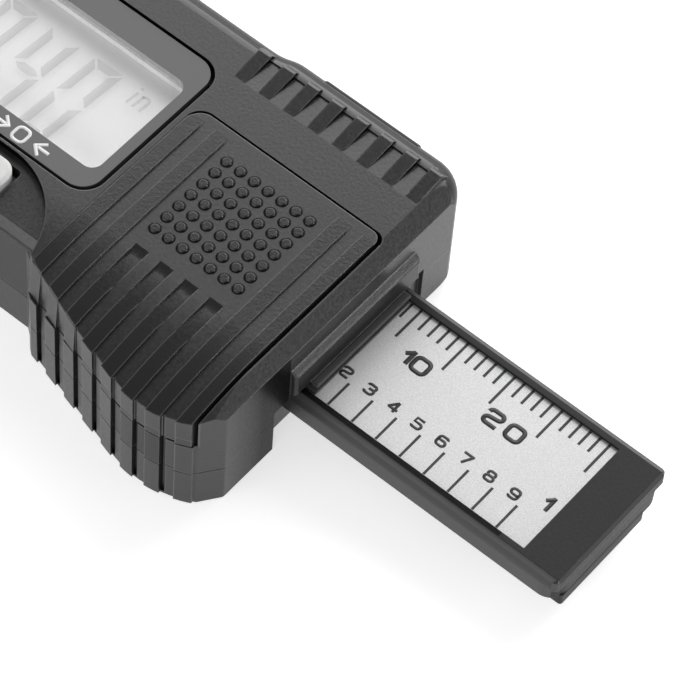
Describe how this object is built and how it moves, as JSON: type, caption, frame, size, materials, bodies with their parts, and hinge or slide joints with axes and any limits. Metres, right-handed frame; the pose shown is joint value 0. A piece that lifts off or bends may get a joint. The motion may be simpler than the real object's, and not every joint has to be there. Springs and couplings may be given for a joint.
{
  "type": "digital tread depth gauge",
  "caption": "Plastic digital depth gauge with a T-shaped measuring foot, a sliding ruler that carries a probe, an LCD, buttons and a ribbed thumb grip.",
  "frame": {"origin": "middle of the bounding box's underside at rest; the housing's underside is the plane Z = 0 and the probe's axis lies over the X axis", "axes": "+X from the measuring face to the free end of the ruler; +Y across to the side away from the buttons; +Z out of the display"},
  "size_m": [0.1036, 0.058, 0.0133],
  "materials": {
    "black_textured_plastic": "fine spark-eroded texture",
    "black_foot_plastic": "fine texture, smooth on the measuring face",
    "grey_bezel_plastic": "smooth, matte",
    "light_frame_plastic": "smooth",
    "clear_pane": "clear, polished",
    "lcd_glass": "light grey reflective display",
    "conductive_rubber": "striped elastomer",
    "board_laminate": "solder mask",
    "potting_resin": "glossy resin",
    "switch_metal": "stamped",
    "cell_steel": "satin",
    "contact_plating": "plated spring strip",
    "gold_fingers": "gold plated",
    "screw_steel": "black oxide",
    "spring_steel": "bright",
    "ruler_plastic": "fine texture",
    "sensor_laminate": "copper grid on laminate",
    "label_foil": "fine-grained silver with printed scales",
    "probe_steel": "polished",
    "cover_plastic": "fine spark-eroded texture",
    "port_cover_plastic": "smooth",
    "button_plastic": "smooth, light"
  },
  "bodies": {
    "housing": {"upper_housing": "black_textured_plastic", "lower_housing": "black_textured_plastic", "measuring_foot": "black_foot_plastic", "display_bezel": "grey_bezel_plastic", "display_frame": "light_frame_plastic", "display_lens": "clear_pane", "lcd_panel": "lcd_glass", "zebra_connectors": "conductive_rubber", "circuit_board": "board_laminate", "driver_chip": "potting_resin", "key_switches": "switch_metal", "battery_cell": "cell_steel", "battery_contact_positive": "contact_plating", "battery_contact_negative": "contact_plating", "data_port_contacts": "gold_fingers", "housing_screws": "screw_steel", "board_screws": "screw_steel", "guide_spring": "spring_steel"},
    "ruler": {"ruler_frame": "ruler_plastic", "ruler_back": "ruler_plastic", "sensor_grid_strip": "sensor_laminate", "scale_label": "label_foil", "probe_pin": "probe_steel", "probe_cross_pin": "probe_steel"},
    "battery_cover": {"battery_cover": "cover_plastic"},
    "data_port_cover": {"data_port_cover": "port_cover_plastic"},
    "unit_button": {"unit_button": "button_plastic"},
    "power_button": {"power_button": "button_plastic"},
    "zero_button": {"zero_button": "button_plastic"}
  },
  "joints": [
    {"name": "ruler_slide", "type": "slide", "parent": "housing", "child": "ruler", "axis": [1, 0, 0], "range_m": [-0.0218, 0.0036]},
    {"name": "battery_cover_slide", "type": "slide", "parent": "housing", "child": "battery_cover", "axis": [0, -1, 0], "range_m": [0, 0.03]},
    {"name": "data_port_cover_pull", "type": "slide", "parent": "housing", "child": "data_port_cover", "axis": [0, 1, 0], "range_m": [0, 0.008]},
    {"name": "unit_button_press", "type": "slide", "parent": "housing", "child": "unit_button", "axis": [0, 0, -1], "range_m": [0, 0.0004], "stiffness_N_per_m": 1500},
    {"name": "power_button_press", "type": "slide", "parent": "housing", "child": "power_button", "axis": [0, 0, -1], "range_m": [0, 0.0004], "stiffness_N_per_m": 1500},
    {"name": "zero_button_press", "type": "slide", "parent": "housing", "child": "zero_button", "axis": [0, 0, -1], "range_m": [0, 0.0004], "stiffness_N_per_m": 1500}
  ]
}
